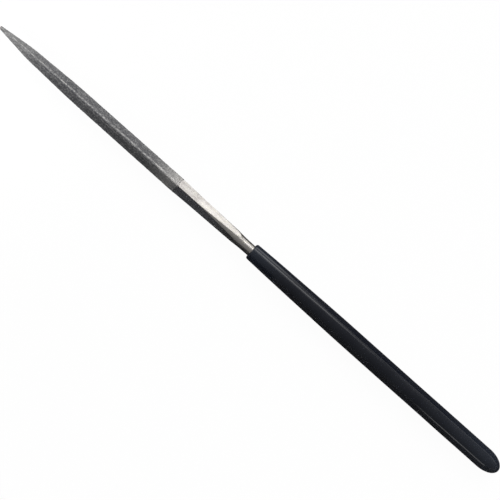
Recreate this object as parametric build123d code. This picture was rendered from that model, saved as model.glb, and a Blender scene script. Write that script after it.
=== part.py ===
from build123d import *

import os
from math import sqrt

# Square diamond needle file: a steel blank, the diamond coating on its blade, and the vinyl
# sleeve on its handle end. Millimetres, +Z up. +X runs along the file from its point to its
# butt. The origin is midway along the file, on the surface that the sleeve rests on. The blade
# lies with one edge up, so that two of its faces show from above.

# Lengths along the file
OVERALL_LENGTH = 140.0
DIAMOND_LENGTH = 50.0  # coated blade, from the point
SHANK_LENGTH = 20.4  # bare steel between the coating and the sleeve

# Bare steel blade, across its flats
HEEL_SIDE = 2.52  # where the coating ends
BELLY_SIDE = 2.40  # where the blade starts to taper
NOSE_SIDE = 1.77  # where the taper steepens
POINT_SIDE = 0.41  # blunt end
BELLY_LENGTH = 20.3  # from the point
NOSE_LENGTH = 8.1  # from the point
BELLY_BLEND = 3.0  # length of curve either side of the start of the taper
NOSE_BLEND = 1.5  # the same where it steepens
EDGE_WEAR = 0.04  # taken off the blade's long edges at the heel, measured from their sharp line

# Shank: square and thin at its waist, then rounder to a shoulder, where the flats run out
WAIST_SIDE = 2.28  # across the flats
WAIST_CORNERS = 3.18  # across the rounded edges
WAIST_LENGTH = 5.5  # from the coating
SHOULDER_SIDE = 2.60  # across the flats
SHOULDER_CORNERS = 2.84  # across the rounded edges
SHOULDER_LENGTH = 4.6  # from the sleeve's mouth
SHANK_BLEND = 1.2  # length of curve either side of the waist
SHOULDER_BLEND = 0.6  # the same at the shoulder and at the start of the neck

# Round steel: a short neck that shows before the sleeve, and the rod that the sleeve covers
NECK_DIAMETER = 2.59  # where the neck starts
NECK_LENGTH = 2.8  # from there to the sleeve's mouth
MOUTH_DIAMETER = 2.51  # where the neck enters the sleeve
RUN_OUT_LENGTH = 4.0  # inside the sleeve, where the lines of the flats are clear of the rod
ROD_DIAMETER = 3.00  # the wire that the blank is forged from
ROD_CHAMFER = 0.35

# Nickel layer with its diamond grit
COATING_THICKNESS = 0.05
COATING_EDGE_WEAR = 0.055  # taken off its long edges, as above
COATING_ARCH = 0.25  # how much shorter the coating is along the middle of each face

# Vinyl sleeve
GRIP_WALL = 0.78  # over the rod
MOUTH_WALL = 0.64  # over the neck
FLARE_LENGTH = 30.0  # mouth to full diameter
LIP_RADIUS = 0.42  # outer edge of the mouth
LIP_LIMIT_SHARE = 0.75  # the most of the mouth's wall that the lip may take
MOUTH_BEVEL = 0.10  # inner edge of the mouth
BUTT_LENGTH = 4.2  # rounded closed end
BUTT_WALL = 3.0  # vinyl beyond the rod
SLEEVE_CLEARANCE = 0.02  # between the sleeve and the steel

EDGE_UP_DEGREES = 45.0  # turn of the square about the file's axis
OVERRUN = 1.0  # how far a cut passes what it cuts

point_x = -OVERALL_LENGTH / 2
butt_x = OVERALL_LENGTH / 2
steel_point_x = point_x + COATING_THICKNESS
nose_x = point_x + NOSE_LENGTH
belly_x = point_x + BELLY_LENGTH
heel_x = point_x + DIAMOND_LENGTH
waist_x = heel_x + WAIST_LENGTH
mouth_x = heel_x + SHANK_LENGTH
shoulder_x = mouth_x - SHOULDER_LENGTH
neck_x = mouth_x - NECK_LENGTH
run_out_x = mouth_x + RUN_OUT_LENGTH
flare_x = mouth_x + FLARE_LENGTH
dome_x = butt_x - BUTT_LENGTH
rod_end_x = butt_x - BUTT_WALL

rod_radius = ROD_DIAMETER / 2
bore_neck_radius = MOUTH_DIAMETER / 2 + SLEEVE_CLEARANCE
bore_radius = rod_radius + SLEEVE_CLEARANCE
mouth_radius = bore_neck_radius + MOUTH_WALL
grip_radius = bore_radius + GRIP_WALL
lip_radius = min(LIP_RADIUS, LIP_LIMIT_SHARE * MOUTH_WALL)


def smooth_line(points, blends):
    """Straight lines through the points, curved over a length either side of each inner one."""
    edges = []
    start = Vector(points[0])
    for before, corner, after, blend in zip(points, points[1:], points[2:], blends):
        corner = Vector(corner)
        curve_start = corner + (Vector(before) - corner).normalized() * blend
        curve_end = corner + (Vector(after) - corner).normalized() * blend
        edges.append(Line(start, curve_start))
        if blend > 0:
            edges.append(Bezier(curve_start, corner, curve_end))
        start = curve_end
    edges.append(Line(start, points[-1]))
    return Wire([edge.edge() for edge in edges])


def square_bar(side_line):
    """Bar of square section, whose half side follows a line drawn above the X axis."""
    start = side_line @ 0
    end = side_line @ 1
    near_end = Line((start.X, -start.Y), start)
    far_end = Line(end, (end.X, -end.Y))
    outline = make_face([near_end, side_line, far_end, mirror(side_line, Plane.XZ)])
    slab = extrude(outline, amount=side_line.bounding_box().max.Y, both=True)
    return slab & slab.rotate(Axis.X, 90)


def turned_bar(radius_line):
    """Round bar about the X axis, whose radius follows a line drawn above it."""
    start = radius_line @ 0
    end = radius_line @ 1
    near_end = Line((start.X, 0), start)
    far_end = Line(end, (end.X, 0))
    middle = Line((end.X, 0), (start.X, 0))
    return revolve(make_face([near_end, radius_line, far_end, middle]), Axis.X)


def blade_half_sides(skin):
    """Places along the tapered blade with its half side there, grown by a skin."""
    return [
        (steel_point_x - skin, POINT_SIDE / 2 + skin),
        (nose_x, NOSE_SIDE / 2 + skin),
        (belly_x, BELLY_SIDE / 2 + skin),
        (heel_x, HEEL_SIDE / 2 + skin),
    ]


def blade_corner_radii(skin, edge_wear):
    """The same places with the reach of the long edges, worn in step with the blade's side."""
    half_sides = blade_half_sides(skin)
    sharp_reach = half_sides[-1][1] * sqrt(2)
    worn_ratio = (sharp_reach - edge_wear) / half_sides[-1][1]
    return [(x, half_side * worn_ratio) for x, half_side in half_sides]


def steel_blank():
    """One forging: square blade, shank, and the round rod that the sleeve covers."""
    flats = blade_half_sides(0) + [
        (waist_x, WAIST_SIDE / 2),
        (shoulder_x, SHOULDER_SIDE / 2),
        (run_out_x, rod_radius + ROD_CHAMFER),
        (rod_end_x, rod_radius + ROD_CHAMFER),
    ]
    corners = blade_corner_radii(0, EDGE_WEAR) + [
        (waist_x, WAIST_CORNERS / 2),
        (shoulder_x, SHOULDER_CORNERS / 2),
        (neck_x, NECK_DIAMETER / 2),
        (mouth_x, MOUTH_DIAMETER / 2),
        (flare_x, rod_radius),
        (rod_end_x, rod_radius),
    ]
    blends = [NOSE_BLEND, BELLY_BLEND, 0, SHANK_BLEND, SHOULDER_BLEND]
    flats_line = smooth_line(flats, blends + [0])
    corners_line = smooth_line(corners, blends + [SHOULDER_BLEND, 0, 0])
    blank = square_bar(flats_line) & turned_bar(corners_line)
    return chamfer(blank.edges().group_by(Axis.X)[-1], ROD_CHAMFER)


def coating_heel_cut():
    """Two crossed cylinders that leave the coating's end arched on each of its four faces."""
    half_side = HEEL_SIDE / 2 + COATING_THICKNESS
    radius = (half_side**2 + COATING_ARCH**2) / (2 * COATING_ARCH)
    roller = Cylinder(radius, 2 * (half_side + OVERRUN))
    roller = Pos(heel_x - COATING_ARCH + radius, 0, 0) * roller
    return roller + roller.rotate(Axis.X, 90)


def diamond_coating(blank):
    """Skin over the blade and its point, open at the heel."""
    blends = [NOSE_BLEND, BELLY_BLEND]
    flats_line = smooth_line(blade_half_sides(COATING_THICKNESS), blends)
    corner_radii = blade_corner_radii(COATING_THICKNESS, COATING_EDGE_WEAR)
    corners_line = smooth_line(corner_radii, blends)
    skin = square_bar(flats_line) & turned_bar(corners_line)
    return skin - blank - coating_heel_cut()


def handle_sleeve():
    """Closed vinyl sleeve: even walls over the neck and the rod, a rounded mouth and butt."""
    bore = Polyline(
        (rod_end_x + SLEEVE_CLEARANCE, 0),
        (rod_end_x + SLEEVE_CLEARANCE, bore_radius),
        (flare_x, bore_radius),
        (mouth_x + MOUTH_BEVEL, bore_neck_radius),
        (mouth_x, bore_neck_radius + MOUTH_BEVEL),
        (mouth_x, mouth_radius),
    )
    flare_middle_x = (mouth_x + flare_x) / 2
    flare = Bezier((flare_x, grip_radius), (flare_middle_x, grip_radius), (mouth_x, mouth_radius))
    grip = Line((flare_x, grip_radius), (dome_x, grip_radius))
    dome = EllipticalCenterArc((dome_x, 0), BUTT_LENGTH, grip_radius)
    solid_end = Line((butt_x, 0), (rod_end_x + SLEEVE_CLEARANCE, 0))
    half_section = make_face([bore, flare, grip, dome, solid_end])
    lip = half_section.vertices().group_by(Axis.X)[0].sort_by(Axis.Y)[-1]
    return revolve(fillet(lip, lip_radius), Axis.X)


def on_the_ground(shape):
    """Turns a shape made about the X axis edge up, and lifts it until the sleeve rests at Z = 0."""
    return Pos(0, 0, grip_radius) * shape.rotate(Axis.X, EDGE_UP_DEGREES)


blank = steel_blank()
pieces = {
    "steel_blank": blank,
    "diamond_coating": diamond_coating(blank),
    "handle_sleeve": handle_sleeve(),
}

os.makedirs("parts", exist_ok=True)
for node, shape in pieces.items():
    export_step(on_the_ground(shape), f"parts/{node}.step")
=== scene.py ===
# %% [markdown]
# # A square diamond needle file
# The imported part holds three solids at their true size: a forged steel blank, the skin of nickel
# and diamond grit on its blade, and the vinyl sleeve over its handle. This lesson loads them as a
# fixed frame, sets up a camera and a small studio, and then dresses each solid with a finer model
# of the same shape and a material made from nodes.

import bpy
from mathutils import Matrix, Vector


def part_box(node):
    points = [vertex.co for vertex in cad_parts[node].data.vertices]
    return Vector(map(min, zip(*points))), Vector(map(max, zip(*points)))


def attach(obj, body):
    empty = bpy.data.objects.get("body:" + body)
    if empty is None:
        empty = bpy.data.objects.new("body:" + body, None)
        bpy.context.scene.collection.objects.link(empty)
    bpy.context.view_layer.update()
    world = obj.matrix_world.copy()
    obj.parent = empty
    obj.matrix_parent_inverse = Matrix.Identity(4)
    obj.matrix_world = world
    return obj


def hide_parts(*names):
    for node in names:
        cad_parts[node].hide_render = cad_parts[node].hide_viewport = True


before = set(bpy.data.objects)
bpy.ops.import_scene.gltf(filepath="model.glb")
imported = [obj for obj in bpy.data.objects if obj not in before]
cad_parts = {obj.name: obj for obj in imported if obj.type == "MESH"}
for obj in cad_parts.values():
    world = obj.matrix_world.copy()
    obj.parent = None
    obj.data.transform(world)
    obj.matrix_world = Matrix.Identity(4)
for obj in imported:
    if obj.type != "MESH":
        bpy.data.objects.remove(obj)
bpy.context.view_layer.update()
print("solids in the frame:", ", ".join(sorted(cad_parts)))

# %% Tools that the later cells use
import math
import random

import bmesh
import bpy
from mathutils import Matrix, Vector, noise

MM = 0.001  # the frame is in metres, and needle files are easier to think about in millimetres

# %% [markdown]
# ## Where things are along the file
# The file lies along X with its point at the low end. The boxes of the three solids give the
# places where one part of the file ends and the next begins, so that everything made below stays
# with the frame.

# %% Places along the file
point_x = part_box("diamond_coating")[0].x
mouth_x, butt_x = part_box("handle_sleeve")[0].x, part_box("handle_sleeve")[1].x
rod_end_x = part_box("steel_blank")[1].x
axis_height = (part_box("handle_sleeve")[0].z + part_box("handle_sleeve")[1].z) / 2

DIAMOND_LENGTH = 50.0 * MM  # coated blade
heel_x = point_x + DIAMOND_LENGTH
print(f"point {point_x / MM:.1f}, heel {heel_x / MM:.1f}, sleeve from {mouth_x / MM:.1f} "
      f"to {butt_x / MM:.1f}, axis {axis_height / MM:.2f} mm above the floor")

# %% [markdown]
# ## The camera
# The photograph looks almost straight down on the file through a long lens, with the point at the
# upper left. A slight lean towards the point and towards one side shows two of the blade's faces
# unequally. The camera is placed so that the point and the butt fall on the same pixels as in the
# photograph, which fixes its distance and its turn.

# %% Place the camera
IMAGE_SIZE = 500
POINT_PIXEL = Vector((0.9, 27.6))
BUTT_PIXEL = Vector((498.9, 471.4))
LENS = 450.0  # millimetres, so that the view has almost no perspective
SENSOR = 36.0
NEAREST, FARTHEST = 0.01, 20.0  # distances between which the camera sees things
LEAN_TO_POINT = math.radians(3.0)
LEAN_TO_SIDE = math.radians(2.5)  # towards the bright side of the file

to_camera = Vector((-math.sin(LEAN_TO_POINT), math.sin(LEAN_TO_SIDE), 1)).normalized()
file_length = butt_x - point_x
seen_axis = Vector((1, 0, 0)) - to_camera * to_camera.x
pixel_span = BUTT_PIXEL - POINT_PIXEL
view_width = file_length * seen_axis.length * IMAGE_SIZE / pixel_span.length

along = seen_axis.normalized()
across = to_camera.cross(along)
slope = math.atan2(pixel_span.y, pixel_span.x)
right = math.cos(slope) * along + math.sin(slope) * across
up = math.cos(slope) * across - math.sin(slope) * along

middle_pixel = (POINT_PIXEL + BUTT_PIXEL) / 2
middle = Vector(((point_x + butt_x) / 2, 0, axis_height))
pixel = view_width / IMAGE_SIZE
aim = (middle - right * (middle_pixel.x - IMAGE_SIZE / 2) * pixel
       + up * (middle_pixel.y - IMAGE_SIZE / 2) * pixel)

camera_data = bpy.data.cameras.new("camera")
camera_data.lens = LENS
camera_data.sensor_width = SENSOR
camera_data.clip_start = NEAREST
camera_data.clip_end = FARTHEST
camera = bpy.data.objects.new("camera", camera_data)
bpy.context.scene.collection.objects.link(camera)
turn = Matrix((right, up, to_camera)).transposed().to_4x4()
step_back = to_camera * view_width * LENS / SENSOR
camera.matrix_world = Matrix.Translation(aim + step_back) @ turn
bpy.context.scene.camera = camera
print(f"one pixel is {pixel / MM:.3f} mm, camera {step_back.length:.2f} m away")

# %% [markdown]
# ## Helpers for materials
# Every material starts from a Principled shader and the piece's Object coordinates, which are
# real metres here. Patterns are then easy to size: a noise whose features are half a millimetre
# wide has a scale of one over half a millimetre.

# %% Material helpers
class Finish:
    """A material under construction: its nodes, its links, its shader and its coordinates."""

    def __init__(self, name):
        self.material = bpy.data.materials.new(name)
        self.material.use_nodes = True
        self.nodes = self.material.node_tree.nodes
        self.links = self.material.node_tree.links
        self.shader = self.nodes["Principled BSDF"]
        self.place = self.nodes.new("ShaderNodeTexCoord").outputs["Object"]

    def stretched(self, sizes):
        """Object coordinates counted in features of the given length along each axis."""
        mapping = self.nodes.new("ShaderNodeMapping")
        mapping.inputs["Scale"].default_value = [1 / size for size in sizes]
        self.links.new(self.place, mapping.inputs["Vector"])
        return mapping.outputs["Vector"]

    def noise(self, size, detail=2.0, roughness=0.5, stretch=(1, 1, 1)):
        """Smooth random pattern from 0 to 1 with features of the given size."""
        node = self.nodes.new("ShaderNodeTexNoise")
        node.inputs["Scale"].default_value = 1.0
        node.inputs["Detail"].default_value = detail
        node.inputs["Roughness"].default_value = roughness
        self.links.new(self.stretched([size * share for share in stretch]), node.inputs["Vector"])
        return node.outputs["Fac"]

    def cells(self, size):
        """A different random number from 0 to 1 in every cell of the given size."""
        node = self.nodes.new("ShaderNodeTexVoronoi")
        node.inputs["Scale"].default_value = 1.0
        self.links.new(self.stretched([size] * 3), node.inputs["Vector"])
        split = self.nodes.new("ShaderNodeSeparateColor")
        self.links.new(node.outputs["Color"], split.inputs["Color"])
        return split.outputs["Red"]

    def attribute(self, name):
        """A number stored on the piece's own vertices."""
        node = self.nodes.new("ShaderNodeAttribute")
        node.attribute_name = name
        return node.outputs["Fac"]

    def along_x(self, start, end, smooth=True):
        """Rises from 0 to 1 between two places along the file."""
        split = self.nodes.new("ShaderNodeSeparateXYZ")
        self.links.new(self.place, split.inputs["Vector"])
        return self.fitted(split.outputs["X"], (start, end), (0, 1), smooth)

    def until_x(self, start, end):
        """Falls from 1 to 0 between two places along the file."""
        return self.combined("SUBTRACT", 1.0, self.along_x(start, end))

    def fitted(self, value, low_high, to_low_high, smooth=True):
        """Fits one range of a value to another, and holds it at the ends."""
        node = self.nodes.new("ShaderNodeMapRange")
        node.interpolation_type = "SMOOTHSTEP" if smooth else "LINEAR"
        self.links.new(value, node.inputs["Value"])
        for key, number in zip(("From Min", "From Max", "To Min", "To Max"),
                               (*low_high, *to_low_high)):
            node.inputs[key].default_value = number
        return node.outputs["Result"]

    def combined(self, kind, *values):
        """Arithmetic on two or three values, each of them a pattern or a number."""
        node = self.nodes.new("ShaderNodeMath")
        node.operation = kind
        for socket, value in zip(node.inputs, values):
            if isinstance(value, (int, float)):
                socket.default_value = value
            else:
                self.links.new(value, socket)
        return node.outputs["Value"]

    def blended(self, share, first, second):
        """Colour that goes from the first to the second as the share goes from 0 to 1."""
        node = self.nodes.new("ShaderNodeMix")
        node.data_type = "RGBA"
        self.links.new(share, node.inputs["Factor"])
        for socket, colour in zip((node.inputs[6], node.inputs[7]), (first, second)):
            if isinstance(colour, tuple):
                socket.default_value = (*colour, 1)
            else:
                self.links.new(colour, socket)
        return node.outputs[2]

    def bumped(self, height, distance, strength=1.0, under=None):
        """Shading normal for a height pattern of the given depth."""
        node = self.nodes.new("ShaderNodeBump")
        node.inputs["Distance"].default_value = distance
        node.inputs["Strength"].default_value = strength
        self.links.new(height, node.inputs["Height"])
        if under is not None:
            self.links.new(under, node.inputs["Normal"])
        return node.outputs["Normal"]

    def feed(self, **sockets):
        """Links patterns to the shader's sockets, which are named with underscores."""
        for name, output in sockets.items():
            self.links.new(output, self.shader.inputs[name.replace("_", " ")])

    def fix(self, **sockets):
        """Sets numbers and colours that are the same all over on the shader's own sockets."""
        for name, value in sockets.items():
            self.shader.inputs[name.replace("_", " ")].default_value = value


# %% [markdown]
# ## Helpers for meshes
# Each shape is modelled in a bmesh, which is a mesh that operators such as spin and extrude work
# on before it belongs to an object. A turned shape starts as its half section, a chain of edges
# and arcs in the plane of X and Z, and is spun once round its axis. Faces are shaded smooth, and
# the edges between faces that meet at a sharper angle than a crease stay hard.

# %% Mesh helpers
TOUCH = 0.002 * MM  # points nearer than this are at the same place


def extruded(bm, edges):
    """Extrudes edges into faces, and gives the new edges and the new points."""
    made = bmesh.ops.extrude_edge_only(bm, edges=edges)["geom"]
    return ([part for part in made if isinstance(part, bmesh.types.BMEdge)],
            [part for part in made if isinstance(part, bmesh.types.BMVert)])


def chained(bm, start, x, z):
    """Adds an edge from the end of a half section to a place in X and Z, and gives the new end."""
    end = bm.verts.new((x, 0, z))
    bm.edges.new((start, end))
    return end


def arc(bm, start, centre, angle, steps):
    """Spins the end of a half section round a centre, and gives the new end."""
    made = bmesh.ops.spin(bm, geom=[start], cent=centre, axis=(0, 1, 0), angle=angle,
                          steps=steps)["geom_last"]
    return [part for part in made if isinstance(part, bmesh.types.BMVert)][0]


def turned_round(bm, axis, steps):
    """Spins a half section once round an axis, and makes each pole one point."""
    bmesh.ops.spin(bm, geom=bm.verts[:] + bm.edges[:], cent=(0, 0, 0), axis=axis,
                   angle=2 * math.pi, steps=steps, use_merge=True)
    bmesh.ops.remove_doubles(bm, verts=bm.verts[:], dist=TOUCH)
    bmesh.ops.recalc_face_normals(bm, faces=bm.faces[:])


def smoothed(bm, crease=math.pi):
    """Shades all faces smooth, with hard edges where two faces meet at more than the crease."""
    for face in bm.faces:
        face.smooth = True
    for edge in bm.edges:
        edge.smooth = not (edge.is_manifold and edge.calc_face_angle() > crease)


def modelled(name, bm, finish):
    """Turns a bmesh into an object of the scene, with its finish."""
    mesh = bpy.data.meshes.new(name)
    bm.to_mesh(mesh)
    bm.free()
    mesh.materials.append(finish.material)
    thing = bpy.data.objects.new(name, mesh)
    bpy.context.scene.collection.objects.link(thing)
    return thing


def finished_piece(name, bm, finish, node):
    """Makes a piece that rides the file, and hides the solid that it stands for."""
    piece = modelled(name, bm, finish)
    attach(piece, "root")
    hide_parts(node)
    low, high = (Vector(piece.bound_box[i]) / MM for i in (0, 6))
    print(f"{name}: {len(piece.data.polygons)} faces, "
          f"from {tuple(round(v, 2) for v in low)} to {tuple(round(v, 2) for v in high)} mm")


# %% [markdown]
# ## The studio
# A needle file is photographed on a white sweep, which is a floor that curves up into a wall. It
# is made by spinning a short line round the vertical axis. Its material is plain pale paint, with
# a share of plain white for rays that come from the camera or from a reflection, so that the
# background looks white and still keeps the soft shadow of the file.

# %% White sweep
SWEEP_RADIUS = 2.5
SWEEP_CURVE = 0.5
SWEEP_HEIGHT = 1.2
CURVE_STEPS, SWEEP_STEPS = 8, 48
PAINT = (0.93, 0.93, 0.93)
WHITE_SHARE = 0.97

bm = bmesh.new()
floor_radius = SWEEP_RADIUS - SWEEP_CURVE
floor_end = chained(bm, bm.verts.new((0, 0, 0)), floor_radius, 0)
wall_foot = arc(bm, floor_end, (floor_radius, 0, SWEEP_CURVE), -math.pi / 2, CURVE_STEPS)
chained(bm, wall_foot, wall_foot.co.x, SWEEP_HEIGHT)
turned_round(bm, (0, 0, 1), SWEEP_STEPS)
smoothed(bm)

paint = Finish("sweep_paint")
paint.fix(Base_Color=(*PAINT, 1), Roughness=0.9, Specular_IOR_Level=0.0)
rays = paint.nodes.new("ShaderNodeLightPath").outputs
seen = paint.combined("MAXIMUM", rays["Is Camera Ray"], rays["Is Glossy Ray"])
seen = paint.combined("MAXIMUM", seen, rays["Is Transmission Ray"])
seen = paint.combined("MULTIPLY", seen, WHITE_SHARE)
white = paint.nodes.new("ShaderNodeEmission")
white.inputs["Color"].default_value = (1, 1, 1, 1)
mixed = paint.nodes.new("ShaderNodeMixShader")
paint.links.new(seen, mixed.inputs["Fac"])
paint.links.new(paint.shader.outputs["BSDF"], mixed.inputs[1])
paint.links.new(white.outputs["Emission"], mixed.inputs[2])
paint.links.new(mixed.outputs["Shader"], paint.nodes["Material Output"].inputs["Surface"])


def staged(name, bm, finish):
    """Makes a thing for the studio, which is not attached to the file."""
    thing = modelled(name, bm, finish)
    return thing


sweep = staged("sweep", bm, paint)
print(f"sweep: {len(sweep.data.polygons)} faces, {2 * SWEEP_RADIUS:.1f} m across")

# %% [markdown]
# ## Dark cards
# A glossy black sleeve and polished steel show whatever lies round them. On a white floor alone
# they would look milky, so product photographers lay dark cards close by, just outside the
# picture, and the cards show only as dark reflections. These cards are seen by reflected rays
# alone: they throw no shadow and take no light from the file.

# %% Dark cards
CARD_LIFT = 0.02 * MM  # above the floor


def reflected_card(name, colour, start, end, shifts):
    """A card folded from its first edge, which runs along the file. Only reflected rays see it."""
    finish = Finish(name)
    finish.fix(Base_Color=(*colour, 1), Roughness=1.0, Specular_IOR_Level=0.0)
    bm = bmesh.new()
    last = [bm.edges.new([bm.verts.new((*corner, CARD_LIFT)) for corner in (start, end)])]
    for shift in shifts:
        last, ends = extruded(bm, last)
        bmesh.ops.translate(bm, verts=ends, vec=shift)
    card = staged(name, bm, finish)
    for ray in ("camera", "diffuse", "transmission", "volume_scatter", "shadow"):
        setattr(card, "visible_" + ray, False)
    print(f"{name}: reflections only")


CARD_HALF = 0.8  # half the length of a long card
NEAR_SIDE, NEAR_CARD_END, NEAR_CARD_TOP = 28.0 * MM, -30.0 * MM, 32.0 * MM
FAR_CARD_END, FAR_CARD_TOP = -0.42, 0.26
GRIP_CARD_START, GRIP_CARD_END, GRIP_CARD_TOP = 9.0 * MM, 0.24, 0.09
END_CARD_PLACE, END_CARD_TOP = 0.30, 0.14
SLANT = 0.052  # the camera's lean carries a reflection this far along the file for its reach
MOUTH_SPLIT = mouth_x + 0.3 * MM  # the steel sees one set of cards, and the sleeve another
STEEL_CARD_SPREAD = 7.5 * MM  # keeps the blurred reflection in the neck on its card
NECK_SPLIT = mouth_x - 15.0 * MM  # the neck sees a blacker card than the shank
BLACK, BLUE_BLACK = (0.020, 0.020, 0.021), (0.050, 0.054, 0.062)
DARK_GREY, GREY, LIGHT_GREY, PALE_GREY = (0.075,) * 3, (0.10,) * 3, (0.14,) * 3, (0.32,) * 3

# Flat on the floor: one on the bright side, and one on the other side for the sleeve alone.
reflected_card("lit_side_card", DARK_GREY, (-CARD_HALF, NEAR_SIDE), (CARD_HALF, NEAR_SIDE),
               [(0, -NEAR_SIDE, 0)])
reflected_card("grip_rim_card", GREY, (MOUTH_SPLIT, 0), (CARD_HALF, 0),
               [(-NEAR_CARD_END * SLANT, NEAR_CARD_END, 0)])
# On the shaded side of the steel, along the floor and then up.
for name, colour, start_x, end_x in (("shank_shade_card", BLUE_BLACK, -CARD_HALF, NECK_SPLIT),
                                     ("neck_shade_card", BLACK, NECK_SPLIT, MOUTH_SPLIT)):
    reflected_card(name, colour, (start_x, 0), (end_x, 0),
                   [(STEEL_CARD_SPREAD, NEAR_CARD_END, 0), (0, 0, NEAR_CARD_TOP)])
# Farther out for the sleeve, on the shaded side and on the bright side, and past its butt.
reflected_card("grip_shade_card", LIGHT_GREY,
               (-CARD_HALF, NEAR_CARD_END), (CARD_HALF, NEAR_CARD_END),
               [(0, FAR_CARD_END - NEAR_CARD_END, 0), (0, 0, FAR_CARD_TOP)])
reflected_card("grip_card", DARK_GREY, (GRIP_CARD_START, NEAR_SIDE), (CARD_HALF, NEAR_SIDE),
               [(GRIP_CARD_END * SLANT, GRIP_CARD_END - NEAR_SIDE, 0), (0, 0, GRIP_CARD_TOP)])
reflected_card("end_card", PALE_GREY, (END_CARD_PLACE, FAR_CARD_END),
               (END_CARD_PLACE, GRIP_CARD_END), [(0, 0, END_CARD_TOP)])

# %% [markdown]
# ## Lamps
# The light is soft and comes mostly from one side. A large box gives the general light, and
# nothing mirrors it. A long box makes the line of light along the sleeve, a wider one at the same
# side brightens the round neck, a low box fills the bright face of the steel, and a short one
# makes the second line near the butt. A small box close to the point lights its shaded side. Each
# is placed by the direction in which the file sees it.

# %% Lamps
def soft_box(name, lean, distance, along_file, width, radiance, mirrored=True):
    """Rectangular lamp that faces the file from a direction that leans, in degrees, from the
    vertical towards the bright side. along_file is where it starts and ends in X."""
    angle = math.radians(lean)
    direction = Vector((0, math.sin(angle), math.cos(angle))).normalized()
    lamp_data = bpy.data.lights.new(name, "AREA")
    lamp_data.shape = "RECTANGLE"
    lamp_data.size = along_file[1] - along_file[0]
    lamp_data.size_y = width
    lamp_data.energy = radiance * math.pi * lamp_data.size * width
    lamp = bpy.data.objects.new(name, lamp_data)
    bpy.context.scene.collection.objects.link(lamp)
    sideways = Vector((1, 0, 0))
    turn = Matrix((sideways, direction.cross(sideways), direction)).transposed().to_4x4()
    centre = Vector((sum(along_file) / 2, 0, axis_height)) + direction * distance
    lamp.matrix_world = Matrix.Translation(centre) @ turn
    lamp.visible_camera = False
    lamp.visible_glossy = mirrored
    print(f"{name}: {lamp_data.size:.2f} x {width:.2f} m, {lamp_data.energy:.2f} W")


soft_box("general_box", lean=50, distance=1.4, along_file=(-0.6, 0.6), width=1.2, radiance=4.2,
         mirrored=False)
soft_box("line_box", lean=51, distance=0.5, along_file=(-0.50, 0.063), width=0.11, radiance=2.1)
soft_box("steel_box", lean=45, distance=0.6, along_file=(-0.40, 0.030), width=0.28, radiance=0.9)
soft_box("low_box", lean=82, distance=0.25, along_file=(-0.30, 0.020), width=0.066, radiance=0.85)
soft_box("butt_box", lean=-57.5, distance=0.12, along_file=(0.060, 0.112), width=0.018,
         radiance=1.8)
soft_box("point_box", lean=-52, distance=0.032, along_file=(-0.100, -0.066), width=0.014,
         radiance=12.0, mirrored=False)

# %% The room
ROOM_LIT_SIDE, ROOM_DARK_SIDE = 0.27, 0.16  # the room is brighter on the side of the boxes
ROOM_BLEND = 0.8  # how far to each side its brightness goes on changing, 1 being level
world = bpy.data.worlds.new("room")
world.use_nodes = True
nodes, links = world.node_tree.nodes, world.node_tree.links
direction = nodes.new("ShaderNodeTexCoord").outputs["Generated"]
split = nodes.new("ShaderNodeSeparateXYZ")
side = nodes.new("ShaderNodeMapRange")
side.interpolation_type = "SMOOTHSTEP"
for key, number in {"From Min": -ROOM_BLEND, "From Max": ROOM_BLEND,
                    "To Min": ROOM_DARK_SIDE, "To Max": ROOM_LIT_SIDE}.items():
    side.inputs[key].default_value = number
links.new(direction, split.inputs["Vector"])
links.new(split.outputs["Y"], side.inputs["Value"])
links.new(side.outputs["Result"], nodes["Background"].inputs["Strength"])
nodes["Background"].inputs["Color"].default_value = (1, 1, 1, 1)
bpy.context.scene.world = world
bpy.context.scene.view_settings.view_transform = "Standard"
print(f"room: {ROOM_DARK_SIDE} on the shaded side, {ROOM_LIT_SIDE} on the bright side")

# %% [markdown]
# ## Lines along the file
# The thickness of the blade, shank and sleeve changes along the file as straight runs with soft
# corners. A soft corner between two slopes is a parabola, so the height of such a line at any
# place is a sum of ramps, one for each corner, whose starts are rounded.

# %% Height of a line with soft corners
def soft_ramp(distance, blend):
    """0 before a corner and the distance after it, rounded over the blend at either side."""
    if distance <= -blend:
        return 0.0
    if distance >= blend:
        return distance
    return (distance + blend) ** 2 / (4 * blend)


def line_height(points, blends, x):
    """Height at x of straight runs through the points, rounded at the inner ones."""
    slopes = [(after[1] - before[1]) / (after[0] - before[0])
              for before, after in zip(points, points[1:])]
    height = points[0][1] + slopes[0] * (x - points[0][0])
    for corner, blend, before, after in zip(points[1:], blends, slopes, slopes[1:]):
        height += (after - before) * soft_ramp(x - corner[0], blend)
    return height


# %% [markdown]
# ## The section of the blade
# The blade is square with one edge up, and its four long edges are worn round. The same section
# serves the shank, where the rounding eats deeper until the flats run out into a round neck. A
# section is a flat and a rounded edge, four times over, so its corners stay at the same counts
# all the way along and the edges stay crisp lines.

# %% Sizes of the steel
BELLY_LENGTH, NOSE_LENGTH = 20.3 * MM, 8.1 * MM  # from the point
WAIST_LENGTH = 5.5 * MM  # from the coating
SHOULDER_LENGTH, NECK_LENGTH = 4.6 * MM, 2.8 * MM  # before the sleeve's mouth
RUN_OUT_LENGTH, FLARE_LENGTH = 4.0 * MM, 30.0 * MM  # after it
NOSE_BLEND, BELLY_BLEND, SHANK_BLEND, SHOULDER_BLEND = 1.5 * MM, 3.0 * MM, 1.2 * MM, 0.6 * MM
HALF_POINT, HALF_NOSE, HALF_BELLY, HALF_HEEL = 0.205 * MM, 0.885 * MM, 1.20 * MM, 1.26 * MM
HALF_WAIST, HALF_SHOULDER, HALF_RUN_OUT = 1.14 * MM, 1.30 * MM, 1.85 * MM
REACH_WAIST, REACH_SHOULDER, REACH_NECK = 1.59 * MM, 1.42 * MM, 1.295 * MM
REACH_MOUTH, ROD = 1.255 * MM, 1.50 * MM
SKIN = 0.05 * MM  # nickel and grit
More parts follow.
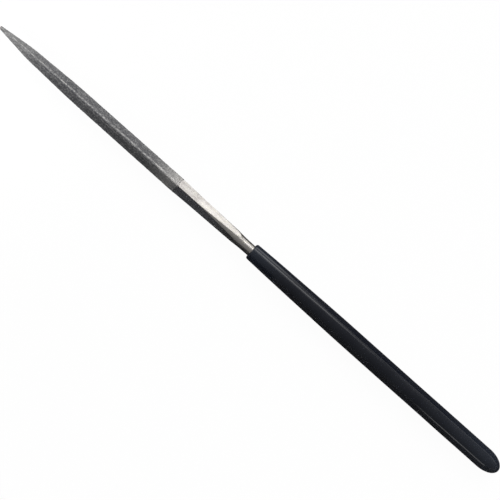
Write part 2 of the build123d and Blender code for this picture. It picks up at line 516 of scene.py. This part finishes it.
EDGE_WEAR, SKIN_EDGE_WEAR = 0.04 * MM, 0.055 * MM

steel_point_x = point_x + SKIN
nose_x, belly_x, waist_x = point_x + NOSE_LENGTH, point_x + BELLY_LENGTH, heel_x + WAIST_LENGTH
shoulder_x, neck_x = mouth_x - SHOULDER_LENGTH, mouth_x - NECK_LENGTH
run_out_x, flare_x = mouth_x + RUN_OUT_LENGTH, mouth_x + FLARE_LENGTH


def blade_halves(skin):
    """Places along the blade and its half side there, grown by a skin."""
    return [(steel_point_x - skin, HALF_POINT + skin), (nose_x, HALF_NOSE + skin),
            (belly_x, HALF_BELLY + skin), (heel_x, HALF_HEEL + skin)]


def blade_reaches(skin, wear):
    """The same places with the reach of the worn long edges."""
    half = HALF_HEEL + skin
    share = (half * math.sqrt(2) - wear) / half
    return [(x, side * share) for x, side in blade_halves(skin)]


# %% A square section with round edges
LEAST_SPLIT = math.radians(6)  # keeps a sliver of flat where the bar is round


def section_point(half, reach, count, flat_steps, edge_steps):
    """Where a count that runs round the section lies in Y and Z, and its place on the flat."""
    quarter, step = divmod(count, flat_steps + edge_steps)
    split = max(math.acos(min(1.0, half / reach)), LEAST_SPLIT)
    if step <= flat_steps:
        angle = math.atan(math.tan(split) * (2 * step / flat_steps - 1))
    else:
        angle = split + (math.pi / 2 - 2 * split) * (step - flat_steps) / edge_steps
    radius = min(half / math.cos(angle), reach) if angle < math.pi / 4 else reach
    turned = math.pi / 4 + quarter * math.pi / 2 + angle
    return radius * math.cos(turned), radius * math.sin(turned), radius * math.sin(angle)


def dragged_ring(bm, rings, steps):
    """A ring of points dragged along X, one ring per unit, and each vertex's ring and count.
    Subdividing gives its points in an order that changes from run to run, so they are sorted."""
    bmesh.ops.create_circle(bm, segments=steps, radius=1)
    bmesh.ops.rotate(bm, verts=bm.verts[:], matrix=Matrix.Rotation(math.pi / 2, 3, "Y"))
    _, far_ring = extruded(bm, bm.edges[:])
    bmesh.ops.translate(bm, verts=far_ring, vec=(rings - 1, 0, 0))
    runs = [edge for edge in bm.edges if abs(edge.verts[0].co.x - edge.verts[1].co.x) > 0.5]
    bmesh.ops.subdivide_edges(bm, edges=runs, cuts=rings - 2, use_grid_fill=True)
    rows = [(vert, round(vert.co.x),
             round(math.atan2(vert.co.z, vert.co.y) / (2 * math.pi) * steps) % steps)
            for vert in bm.verts]
    return sorted(rows, key=lambda row: row[1:])


# %% [markdown]
# ## Ground steel
# The blank is forged from round wire, and its flats are ground. Steel shows its surroundings, so
# its colour is a light warm grey, and its character comes from what lies on it: cloudy stains,
# short bright marks of the grinding wheel across the file, and streaks and scratches along it.
# All of them are noises, stretched in the direction of the marks. The grinding fades out towards
# the neck, and the steel is duller next to the coating.

# %% Ground steel finish
PINKISH_STEEL, YELLOWISH_STEEL = (0.74, 0.705, 0.685), (0.76, 0.73, 0.665)
STAIN, STREAK = (0.50, 0.465, 0.44), (0.48, 0.45, 0.42)
BRIGHT_MARK, DULL_STEEL = (0.93, 0.915, 0.885), (0.50, 0.48, 0.465)
GRINDING_FADES, GRINDING_GONE = 18.0 * MM, 3.0 * MM  # before the sleeve's mouth
DULL_LENGTH = 9.0 * MM  # from the coating
SCRATCH_DEPTH, MARK_DEPTH = 0.0015 * MM, 0.0008 * MM

steel = Finish("ground_steel")
clouds = steel.noise(1.0 * MM, detail=3, roughness=0.6, stretch=(1.6, 1, 1))
tint = steel.noise(0.7 * MM, detail=2)
marks = steel.noise(0.30 * MM, detail=3, roughness=0.6, stretch=(1, 2, 2))
streaks = steel.noise(0.15 * MM, detail=3, roughness=0.6, stretch=(24, 1, 1))
scratches = steel.noise(0.09 * MM, detail=2, roughness=0.6, stretch=(40, 1, 1))
ground = steel.until_x(mouth_x - GRINDING_FADES, mouth_x - GRINDING_GONE)
steel_colour = steel.blended(steel.fitted(tint, (0.35, 0.65), (0, 1)),
                             PINKISH_STEEL, YELLOWISH_STEEL)
steel_colour = steel.blended(
    steel.combined("MULTIPLY", ground, steel.fitted(clouds, (0.43, 0.60), (0, 0.85))),
    steel_colour, STAIN)
steel_colour = steel.blended(steel.fitted(streaks, (0.48, 0.70), (0, 0.55)),
                             steel_colour, STREAK)
steel_colour = steel.blended(
    steel.combined("MULTIPLY", ground, steel.fitted(marks, (0.48, 0.66), (0, 0.55))),
    steel_colour, BRIGHT_MARK)
dull = steel.until_x(heel_x, heel_x + DULL_LENGTH)
steel_colour = steel.blended(steel.combined("MULTIPLY", dull, 0.45), steel_colour, DULL_STEEL)
smears = steel.noise(0.45 * MM, detail=2, stretch=(14, 1, 1))
rough = steel.combined("MULTIPLY_ADD", streaks, 0.24, 0.10)
rough = steel.combined("ADD", rough, steel.combined("MULTIPLY", smears, 0.12))
marked = steel.bumped(steel.combined("MULTIPLY", ground, marks), MARK_DEPTH)
scratched = steel.bumped(steel.combined("MULTIPLY", ground, scratches), SCRATCH_DEPTH,
                         under=marked)
steel.feed(Base_Color=steel_colour, Roughness=rough, Normal=scratched)
steel.fix(Metallic=1.0)
print("ground steel:", len(steel.nodes), "nodes")

# %% Lines and stations of the blank
STEEL_FLAT_STEPS, STEEL_EDGE_STEPS = 8, 16
BLADE_STATION, SHANK_STATION, ROD_STATION = 1.0 * MM, 0.2 * MM, 3.0 * MM
UNDERLAP = 1.0 * MM  # the shank's detail goes on this far under the coating and the sleeve

half_line = blade_halves(0) + [(waist_x, HALF_WAIST), (shoulder_x, HALF_SHOULDER),
                               (run_out_x, HALF_RUN_OUT), (rod_end_x, HALF_RUN_OUT)]
reach_line = blade_reaches(0, EDGE_WEAR) + [
    (waist_x, REACH_WAIST), (shoulder_x, REACH_SHOULDER), (neck_x, REACH_NECK),
    (mouth_x, REACH_MOUTH), (flare_x, ROD), (rod_end_x, ROD)]
half_blends = [NOSE_BLEND, BELLY_BLEND, 0, SHANK_BLEND, SHOULDER_BLEND, 0]
reach_blends = half_blends[:5] + [SHOULDER_BLEND, 0, 0]


def stations(stops, steps):
    """Places from stop to stop, evenly spaced between two stops by about the given steps."""
    places = [stops[0]]
    for start, end, step in zip(stops, stops[1:], steps):
        parts = max(1, round((end - start) / step))
        places += [start + (end - start) * part / parts for part in range(1, parts + 1)]
    return places


steel_stations = stations([steel_point_x, heel_x - UNDERLAP, run_out_x, rod_end_x],
                          [BLADE_STATION, SHANK_STATION, ROD_STATION])
steel_steps = 4 * (STEEL_FLAT_STEPS + STEEL_EDGE_STEPS)
print(f"blank: {len(steel_stations)} rings of {steel_steps} points")

# %% The blank, from its point inside the coating to its end inside the sleeve
CREASE = math.radians(8)
WORN_CREASE = 0.045 * MM
ROD_CHAMFER = 0.35 * MM

bm = bmesh.new()
for vert, ring, count in dragged_ring(bm, len(steel_stations), steel_steps):
    x = steel_stations[ring]
    y, z, _ = section_point(line_height(half_line, half_blends, x),
                            line_height(reach_line, reach_blends, x),
                            count, STEEL_FLAT_STEPS, STEEL_EDGE_STEPS)
    vert.co = (x, y, z + axis_height)
bmesh.ops.holes_fill(bm, edges=[edge for edge in bm.edges if edge.is_boundary])
bmesh.ops.recalc_face_normals(bm, faces=bm.faces[:])
rod_rim = [edge for edge in bm.edges
           if all(vert.co.x > rod_end_x - TOUCH for vert in edge.verts)]
bmesh.ops.bevel(bm, geom=rod_rim, offset=ROD_CHAMFER, offset_type="OFFSET", affect="EDGES",
                segments=1, profile=0.5, material=-1)
creases = [edge for edge in bm.edges
           if edge.is_manifold and edge.calc_face_angle() > CREASE
           and heel_x - UNDERLAP < min(v.co.x for v in edge.verts)
           and max(v.co.x for v in edge.verts) < mouth_x + UNDERLAP
           and abs(edge.verts[0].co.x - edge.verts[1].co.x) > SHANK_STATION / 2]
bmesh.ops.bevel(bm, geom=creases, offset=WORN_CREASE, offset_type="OFFSET", affect="EDGES",
                segments=2, profile=0.5, material=-1, clamp_overlap=True)
smoothed(bm, CREASE)
print("worn creases along the shank:", len(creases), "edges")
finished_piece("forged_blank", bm, steel, "steel_blank")

# %% [markdown]
# ## Nickel and diamond grit
# The blade is plated with nickel that holds a layer of diamond grains. The grains are about a
# tenth of a millimetre across, so the skin is a fine mesh whose points are raised at random: each
# cell of a Voronoi pattern is one grain with its own height, and the joints between cells are the
# nickel. Flat shading makes every small face catch the light on its own, as real grit does. The
# points are also shaken a little sideways, because an even mesh would show as rows.

# %% Sizes of the grit skin
GRIT_STEP = 0.075 * MM
GRIT_FLAT_STEPS, GRIT_EDGE_STEPS = 28, 6
EDGE_ROUND = 0.30 * MM  # radius that use has given to the long edges, at the heel
GRAIN = 0.13 * MM
GRAIN_HEIGHT = 0.050 * MM
GRAIN_MEAN = 0.45  # share of the height that lies under the solid's own surface
LOWEST_GRAIN = 0.25  # share of the height that every grain has
GRAIN_JOINT = 0.22  # width of the slope from a joint to the top of a grain, in grains
GRAIN_SPREAD = 7.31  # sets neighbouring grains far enough apart to have random heights
LUMP, LUMP_HEIGHT = 0.55 * MM, 0.010 * MM
SHAKE = 0.36  # most that a point moves sideways, in steps
HEEL_ARCH = 0.25 * MM
ARCH_FADE = 2.0 * MM
TIP_RINGS = 5
TIP_DOME = 0.10 * MM
SMOOTH_HEEL = 0.35 * MM  # the last bit of plating has almost no grit
HEEL_GRIT = 0.2  # share of the grit's height that is left at its very end
EDGE_BAND_PLACE, EDGE_BAND_WIDTH = 0.45 * MM, 0.27 * MM  # from the line of a long edge, at the heel: where the pale band of edge wear and painted highlight lies
SIDE_EDGE_HIGHLIGHT = 0.12  # painted highlight: the side edges get less of the pale band than the top one, which faces the light
SHADED_SIDE_HIGHLIGHT = 0.30  # painted shade: the faces on the shaded side get less of it too

grit_reaches = blade_reaches(SKIN, SKIN_EDGE_WEAR)
grit_blends = [NOSE_BLEND, BELLY_BLEND]
heel_half = HALF_HEEL + SKIN
arch_radius = (heel_half ** 2 + HEEL_ARCH ** 2) / (2 * HEEL_ARCH)
ring_steps = 4 * (GRIT_FLAT_STEPS + GRIT_EDGE_STEPS)
facings = [Matrix.Rotation(math.pi / 4 + quarter * math.pi / 2, 3, "X") for quarter in range(4)]
grit_stations = stations([point_x + TIP_DOME, heel_x], [GRIT_STEP])
rings = TIP_RINGS + len(grit_stations)
print(f"grit: {rings} rings of {ring_steps} points")


# %% Where a point of the skin lies, and how far its grain stands out
def round_edged_point(reach, count):
    """Place round the skin, its outward direction, its place on the face, the flat's half, and
    how much of the pale band of edge wear and painted highlight it gets there."""
    quarter, step = divmod(count, GRIT_FLAT_STEPS + GRIT_EDGE_STEPS)
    size = reach / grit_reaches[-1][1]
    rounding = EDGE_ROUND * size
    flat = (reach - rounding) / math.sqrt(2)
    lean = max(0, step - GRIT_FLAT_STEPS) / GRIT_EDGE_STEPS * math.pi / 2
    side = flat * (2 * min(step, GRIT_FLAT_STEPS) / GRIT_FLAT_STEPS - 1)
    outward = Vector((0, math.cos(lean), math.sin(lean)))
    place = Vector((0, flat, side)) + outward * rounding
    from_edge = flat - abs(side) + abs(math.pi / 4 - lean) * rounding
    off_band = (from_edge / size - EDGE_BAND_PLACE) / EDGE_BAND_WIDTH
    wear_and_highlight = max(0.0, 1 - off_band ** 2)
    if lean:
        side = flat + rounding * min(outward.y, outward.z)
    place = facings[quarter] @ place
    # Painted highlight and shade: the band is weaker on the side edges and on the shaded side, as
    # the light falls.
    if abs(place.z) < abs(place.y):
        wear_and_highlight *= SIDE_EDGE_HIGHLIGHT
    if place.y < 0:
        wear_and_highlight *= SHADED_SIDE_HIGHLIGHT
    return place, facings[quarter] @ outward, side, flat, wear_and_highlight


def arched(x, side):
    """Draws the last rings back along the middle of each face, so that the skin ends in an arch."""
    back = HEEL_ARCH - (arch_radius - math.sqrt(max(0, arch_radius ** 2 - side ** 2)))
    fade = max(0.0, 1 - (heel_x - x) / ARCH_FADE)
    return x - back * fade


def grain_height(place):
    """Height of the grit at a place, with its grain's own height and the joints between grains."""
    distances, centres = noise.voronoi(place / GRAIN)
    own = LOWEST_GRAIN + (1 - LOWEST_GRAIN) * noise.cell(centres[0] * GRAIN_SPREAD)
    block = min(1.0, (distances[1] - distances[0]) / GRAIN_JOINT)
    lumps = noise.noise(place / LUMP)
    return GRAIN_HEIGHT * (own * block - GRAIN_MEAN) + LUMP_HEIGHT * lumps


# %% Grit skin: outside
shake = random.Random(11)
bm = bmesh.new()
# This layer holds the share of the pale edge band, partly wear and partly painted highlight.
wear_and_highlight_layer = bm.verts.layers.float.new("wear_and_highlight_layer")
from_heel = bm.verts.layers.float.new("from_heel")
skin_points = dragged_ring(bm, rings, ring_steps)
for vert, ring, count in skin_points:
    closing = 1.0
    if ring < TIP_RINGS:
        turn = math.pi / 2 * ring / TIP_RINGS
        x, closing = point_x + TIP_DOME * (1 - math.cos(turn)), math.sin(turn)
    else:
        x = grit_stations[ring - TIP_RINGS]
    reach = line_height(grit_reaches, grit_blends, x)
    place, outward, side, flat, wear_and_highlight = round_edged_point(reach, count)
    place *= closing
    place.x = x
    if abs(side) < flat and TIP_RINGS < ring < rings - 1:
        sideways = outward.cross(Vector((1, 0, 0)))
        place += sideways * (shake.uniform(-SHAKE, SHAKE) * 2 * flat / GRIT_FLAT_STEPS)
        place.x += shake.uniform(-SHAKE, SHAKE) * GRIT_STEP
    place.x = arched(place.x, side)
    calm = HEEL_GRIT + (1 - HEEL_GRIT) * min(1.0, max(0.0, (heel_x - x) / SMOOTH_HEEL))
    place += outward * grain_height(place) * calm * closing
    vert.co = place + Vector((0, 0, axis_height))
    vert[wear_and_highlight_layer] = wear_and_highlight
    vert[from_heel] = (heel_x - x) / MM
pole = [vert for vert, ring, _ in skin_points if ring == 0]
bmesh.ops.remove_doubles(bm, verts=pole, dist=TOUCH)
print(f"grit: {len(pole)} points at the tip made one, {len(bm.verts)} points in all")

# %% Grit skin: wall at the heel and inside
heel_rim = [edge for edge in bm.edges if edge.is_boundary]
last, outer_half = heel_rim, heel_half + EDGE_ROUND / 8  # round edges leave the flats fuller
for inner_x in (heel_x, nose_x, steel_point_x):
    last, ends = extruded(bm, last)
    inner_half = line_height(blade_halves(0), grit_blends, inner_x)
    shrink = inner_half / outer_half
    for vert in ends:
        vert.co.y *= shrink
        vert.co.z = axis_height + (vert.co.z - axis_height) * shrink
        if inner_x != heel_x:
            vert.co.x = inner_x
    outer_half = inner_half
bmesh.ops.holes_fill(bm, edges=last)
bmesh.ops.recalc_face_normals(bm, faces=bm.faces[:])
bmesh.ops.triangulate(bm, faces=bm.faces[:], quad_method="SHORT_EDGE")
print(f"wall at the heel: {len(heel_rim)} points round")

# %% [markdown]
# ## Finish of the grit
# Plated grit is a dark grey that glints. Neighbouring grains differ in brightness, and the coat is
# cloudy over a few tenths of a millimetre. It is paler at the point, and near the heel where the
# plating thins out. A pale band runs along the long edges: partly grains polished by use, and
# partly a painted highlight that is strongest on the top edge and on the lit side. The last third
# of a millimetre is painted darker, as the shadow of the step where the plating ends and its edge
# line.

# %% Diamond nickel finish
DARK_GRIT, PALE_GRIT = (0.069, 0.071, 0.077), (0.113, 0.112, 0.116)
BLUISH_GRIT, PALE_TIP = (0.088, 0.088, 0.097), (0.30, 0.298, 0.295)
SPECKLE, FLECK = (0.43, 0.425, 0.415), (0.52, 0.515, 0.505)
THIN_PLATING, THIN_TICK = (0.56, 0.54, 0.52), (0.715, 0.70, 0.675)
# The dark colour of the painted shadow at the plating's end step.
# The pale colour of the edge band: worn grains and a painted highlight.
WORN_EDGE_AND_HIGHLIGHT, STEP_SHADOW_AND_PLATING_LINE = (0.72, 0.71, 0.69), (0.08, 0.075, 0.07)
PALE_TIP_BEFORE, PALE_TIP_LENGTH = 2.0 * MM, 16.0 * MM  # before the point, and after it
PALE_HEEL_LENGTH, PALE_HEEL_POWER = 12.5 * MM, 3.6  # it comes late, and then fast
GLINT_GRAIN, GLINT_DEPTH = 0.05 * MM, 0.010 * MM

grit = Finish("diamond_nickel")
speckle = grit.cells(0.14 * MM)
mottle = grit.noise(0.42 * MM, detail=3, roughness=0.7, stretch=(1.3, 1, 1))
flecks = grit.noise(0.40 * MM, detail=2, roughness=0.5, stretch=(1.6, 1, 1))
drift = grit.noise(3.0 * MM, detail=2)
ticks = grit.noise(0.34 * MM, detail=2, roughness=0.6, stretch=(1, 3, 3))
grit_colour = grit.blended(grit.fitted(mottle, (0.38, 0.62), (0, 1)), DARK_GRIT, PALE_GRIT)
grit_colour = grit.blended(grit.fitted(drift, (0.35, 0.65), (0, 0.30)), grit_colour, BLUISH_GRIT)
grit_colour = grit.blended(grit.fitted(speckle, (0.76, 0.96), (0, 0.50)), grit_colour, SPECKLE)
pale_tip = grit.until_x(point_x - PALE_TIP_BEFORE, point_x + PALE_TIP_LENGTH)
pale_heel = grit.combined("POWER", grit.along_x(heel_x - PALE_HEEL_LENGTH, heel_x, smooth=False),
                          PALE_HEEL_POWER)
fleck_share = grit.combined("MULTIPLY", grit.combined("MULTIPLY_ADD", pale_tip, 0.30, 0.14),
                            grit.fitted(flecks, (0.55, 0.68), (0, 1)))
grit_colour = grit.blended(fleck_share, grit_colour, FLECK)
grit_colour = grit.blended(grit.combined("MULTIPLY", pale_tip, 0.62), grit_colour, PALE_TIP)
thin_colour = grit.blended(grit.fitted(ticks, (0.38, 0.62), (0, 1)), THIN_PLATING, THIN_TICK)
grit_colour = grit.blended(grit.combined("MULTIPLY", pale_heel, 0.95), grit_colour, thin_colour)
# Edge wear and painted highlight: a dotted pale band along the long edges.
wear_and_highlight_dashes = grit.fitted(grit.noise(0.36 * MM, detail=3, roughness=0.7, stretch=(2.0, 1, 1)),
                     (0.45, 0.63), (0.08, 0.78))
wear_and_highlight = grit.combined("MULTIPLY", grit.attribute("wear_and_highlight_layer"), wear_and_highlight_dashes)
grit_colour = grit.blended(wear_and_highlight, grit_colour, WORN_EDGE_AND_HIGHLIGHT)
# Painted shadow of the step where the plating ends, with the dark line of the plating's own edge.
step_shadow_and_plating_line = grit.fitted(grit.attribute("from_heel"), (0.06, 0.30), (0.60, 0))
grit_colour = grit.blended(step_shadow_and_plating_line, grit_colour, STEP_SHADOW_AND_PLATING_LINE)
grit_rough = grit.combined("SUBTRACT",
                           grit.fitted(speckle, (0.0, 1.0), (0.30, 0.62), smooth=False),
                           grit.combined("MULTIPLY", pale_heel, 0.14))
grit_metal = grit.fitted(grit.combined("MAXIMUM", pale_heel, wear_and_highlight), (0, 1), (0.32, 0.85))
grit.feed(Base_Color=grit_colour, Roughness=grit_rough, Metallic=grit_metal,
          Normal=grit.bumped(grit.noise(GLINT_GRAIN, detail=2), GLINT_DEPTH, strength=0.6))
grit.fix(Specular_IOR_Level=0.5)
finished_piece("diamond_skin", bm, grit, "diamond_coating")

# %% [markdown]
# ## The vinyl sleeve
# The handle is dipped in liquid vinyl, which sets to a thin sleeve: round at the butt, and with a
# soft lip at the mouth where the steel goes in. A dipped shape is turned, so its half section is
# drawn as a chain of edges and spun once round the file. Arcs in that chain are spun as well, from
# a single point.

# %% Half section of the sleeve
GRIP, MOUTH = 2.30 * MM, 1.915 * MM  # radii
LIP, MOUTH_BEVEL = 0.42 * MM, 0.10 * MM
BUTT_LENGTH, CLEARANCE = 4.2 * MM, 0.02 * MM
GRIP_STEPS, FLARE_STEPS, LIP_STEPS, DOME_STEPS, TURN_STEPS = 60, 50, 7, 22, 96
bore_neck, bore = REACH_MOUTH + CLEARANCE, ROD + CLEARANCE
dome_x = butt_x - BUTT_LENGTH

bm = bmesh.new()
tail = bm.verts.new((rod_end_x + CLEARANCE, 0, 0))
for x, radius in ((rod_end_x + CLEARANCE, bore), (flare_x, bore),
                  (mouth_x + MOUTH_BEVEL, bore_neck), (mouth_x, bore_neck + MOUTH_BEVEL),
                  (mouth_x, MOUTH - LIP)):
    tail = chained(bm, tail, x, radius)
tail = arc(bm, tail, (mouth_x + LIP, 0, MOUTH - LIP), math.pi / 2, LIP_STEPS)
for step in range(1, FLARE_STEPS + 1):
    x = mouth_x + LIP + (flare_x - mouth_x - LIP) * step / FLARE_STEPS
    left = 1 - (x - mouth_x) / FLARE_LENGTH
    tail = chained(bm, tail, x, GRIP - (GRIP - MOUTH) * left ** 2)
for step in range(1, GRIP_STEPS + 1):
    tail = chained(bm, tail, flare_x + (dome_x - flare_x) * step / GRIP_STEPS, GRIP)
before_dome = set(bm.verts)
arc(bm, tail, (dome_x, 0, 0), math.pi / 2, DOME_STEPS)
for vert in bm.verts:
    if vert not in before_dome:
        vert.co.x = dome_x + (vert.co.x - dome_x) * BUTT_LENGTH / GRIP
print(f"half section of the sleeve: {len(bm.verts)} points")

# %% Spin the sleeve, and let the dip sag a little
WAVE, WAVE_STRETCH, WAVE_HEIGHT = 3.5 * MM, 3, 0.030 * MM  # stretched along the file
WAVE_SINK = 0.4  # share of that height by which the mean surface lies inside the solid's
LIP_WAVE, LIP_WAVE_HEIGHT = 1.1 * MM, 0.030 * MM
LIP_BACK = 0.6  # share of that height by which the lip is drawn back on average
LIP_ZONE = 1.5 * MM
OUTSIDE = bore + 0.3 * MM  # no point of the bore is this far from the axis
SLEEVE_CREASE = math.radians(35)

turned_round(bm, (1, 0, 0), TURN_STEPS)
for vert in bm.verts:
    radial = Vector((0, vert.co.y, vert.co.z))
    reach = radial.length
    if reach > OUTSIDE or (vert.co.x < mouth_x + LIP and reach > bore_neck):
        wave = noise.noise(Vector((vert.co.x / WAVE_STRETCH, vert.co.y, vert.co.z)) / WAVE)
        sag = WAVE_HEIGHT * (wave - WAVE_SINK)
        vert.co += radial.normalized() * sag * min(1, reach / GRIP)
        lip_share = max(0.0, 1 - (vert.co.x - mouth_x) / LIP_ZONE)
        wobble = noise.noise(Vector((0, vert.co.y, vert.co.z)) / LIP_WAVE)
        vert.co.x += LIP_WAVE_HEIGHT * lip_share * (wobble + LIP_BACK)
bmesh.ops.translate(bm, verts=bm.verts[:], vec=(0, 0, axis_height))
smoothed(bm, SLEEVE_CREASE)
print(f"sleeve spun in {TURN_STEPS} steps: {len(bm.verts)} points")

# %% [markdown]
# ## Finish of the vinyl
# The vinyl is almost black with a trace of blue, and a little paler at its mouth and butt. Its
# shine is soft, its surface has the faint orange peel of a dip, and handling has left it slightly
# duller in patches.

# %% Dipped vinyl finish
DARK_VINYL, PALE_VINYL = (0.0053, 0.0064, 0.0106), (0.0075, 0.0087, 0.0130)
WORN_VINYL = (0.0145, 0.0182, 0.0262)
WORN_MOUTH_LENGTH, WORN_BUTT_LENGTH = 11.0 * MM, 24.0 * MM
PEEL_DEPTH = 0.002 * MM

vinyl = Finish("dipped_vinyl")
peel = vinyl.noise(1.6 * MM, detail=2, stretch=(2.2, 1, 1))
handled = vinyl.noise(5.0 * MM, detail=3, roughness=0.6)
vinyl_colour = vinyl.blended(vinyl.fitted(handled, (0.35, 0.70), (0, 1)), DARK_VINYL, PALE_VINYL)
worn_mouth = vinyl.until_x(mouth_x, mouth_x + WORN_MOUTH_LENGTH)
worn_butt = vinyl.combined("MULTIPLY", vinyl.along_x(butt_x - WORN_BUTT_LENGTH, butt_x), 0.7)
vinyl_colour = vinyl.blended(vinyl.combined("MAXIMUM", worn_mouth, worn_butt),
                             vinyl_colour, WORN_VINYL)
vinyl.feed(Base_Color=vinyl_colour,
           Roughness=vinyl.fitted(handled, (0.30, 0.75), (0.10, 0.16)),
           Normal=vinyl.bumped(peel, PEEL_DEPTH, strength=0.4))
vinyl.fix(Specular_IOR_Level=0.5)
finished_piece("vinyl_sleeve", bm, vinyl, "handle_sleeve")
